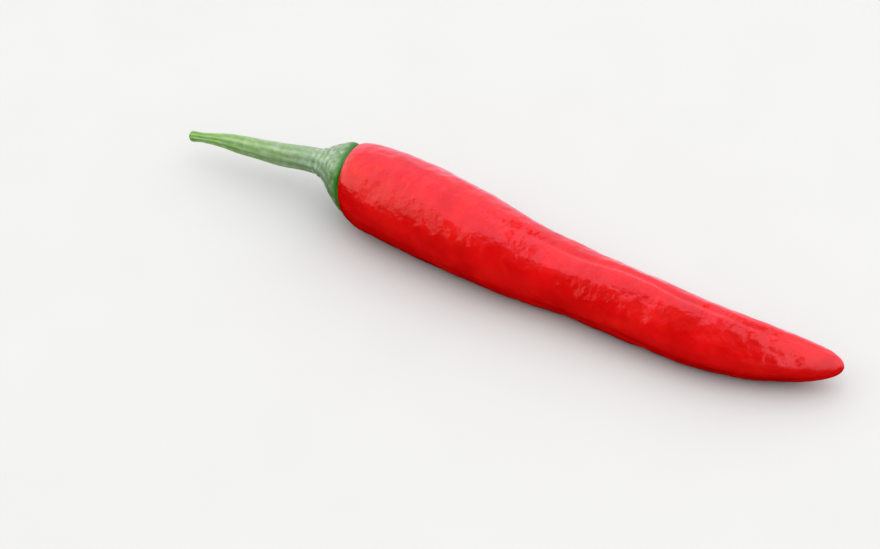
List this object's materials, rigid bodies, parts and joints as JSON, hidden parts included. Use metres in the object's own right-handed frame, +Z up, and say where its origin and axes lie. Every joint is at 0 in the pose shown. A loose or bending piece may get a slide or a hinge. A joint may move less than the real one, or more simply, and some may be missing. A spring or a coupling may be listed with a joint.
{
  "type": "chili pepper",
  "caption": "Long, slim, slightly curved fresh chili pepper with a smooth red pod, a green calyx cap and a curved green stem, lying on its side.",
  "frame": {"origin": "on the surface that the pepper rests on, under the middle of its bounding box", "axes": "+X from the cut stem end to the tip of the pod, +Z up"},
  "size_m": [0.164, 0.0252, 0.02],
  "materials": {
    "pod_skin": "smooth waxy red fruit skin with a broad soft gloss",
    "stem_green": "satin grey-green stem and calyx with fine lengthwise ridges and a pale waxy bloom"
  },
  "bodies": {
    "root": {"pod": "pod_skin", "stem_and_calyx": "stem_green"}
  },
  "joints": []
}
